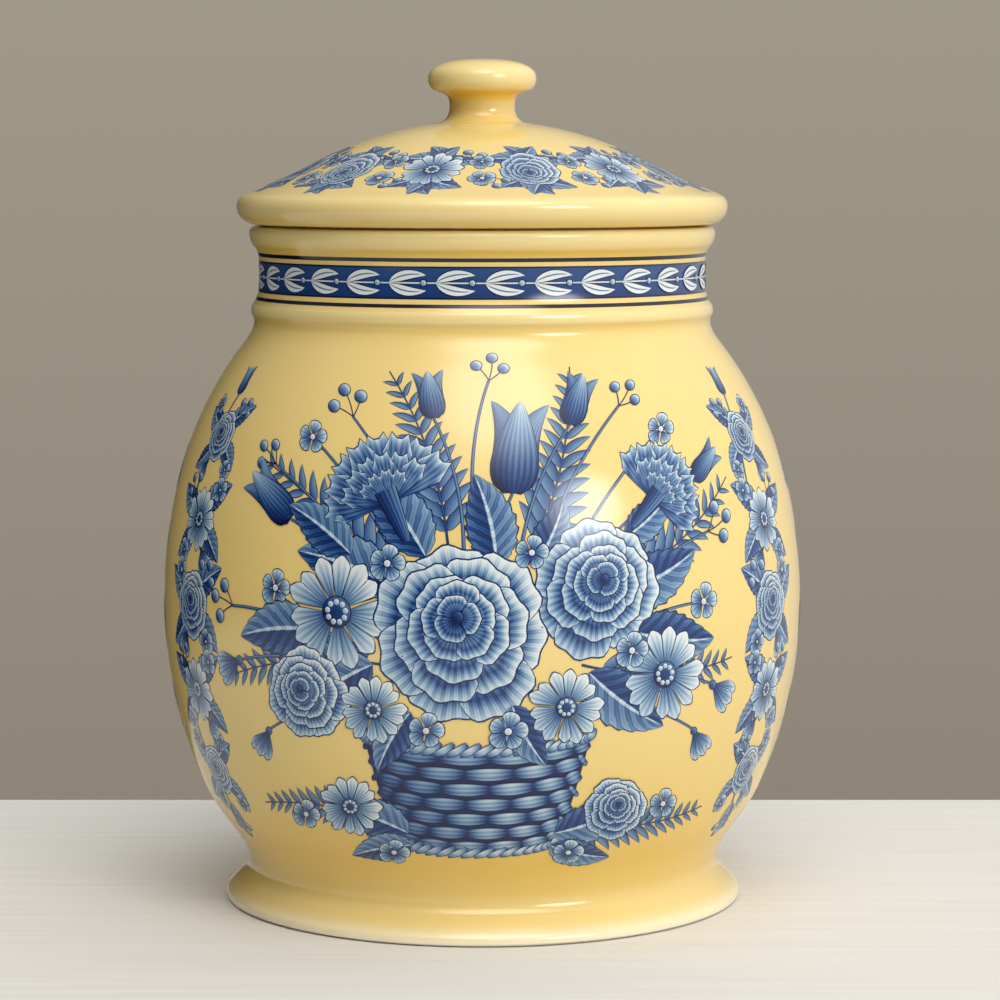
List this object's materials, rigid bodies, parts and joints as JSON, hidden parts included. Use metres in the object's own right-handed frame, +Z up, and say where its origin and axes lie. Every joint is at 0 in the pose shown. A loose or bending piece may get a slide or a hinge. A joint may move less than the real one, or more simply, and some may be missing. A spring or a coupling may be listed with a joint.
{
  "type": "lidded ceramic canister",
  "caption": "Round-bellied glazed canister on a flared foot, with a beaded neck and a domed, knobbed lid that lifts off and turns, sealed in the neck by a soft ribbed ring.",
  "frame": {"origin": "centre of the foot ring, on the surface that the jar stands on", "axes": "+Z up along the axis that every piece is turned about, -Y towards the front of the decoration"},
  "size_m": [0.1766, 0.1766, 0.232],
  "materials": {
    "body_glaze": "glossy buttercup-yellow glaze over blue and white printed decoration",
    "lid_glaze": "glossy buttercup-yellow glaze over blue and white printed decoration",
    "seal_silicone": "soft milky silicone, matt"
  },
  "bodies": {
    "jar": {"jar_body": "body_glaze"},
    "seal": {"lid_seal": "seal_silicone"},
    "lid": {"lid": "lid_glaze", "lid_knob": "lid_glaze"}
  },
  "joints": [
    {"name": "lid_lift", "type": "slide", "parent": "jar", "child": "seal", "axis": [0, 0, 1], "range_m": [0, 0.12]},
    {"name": "lid_turn", "type": "hinge", "parent": "seal", "child": "lid", "pos_m": [0, 0, 0.1872], "axis": [0, 0, 1], "continuous": true}
  ]
}
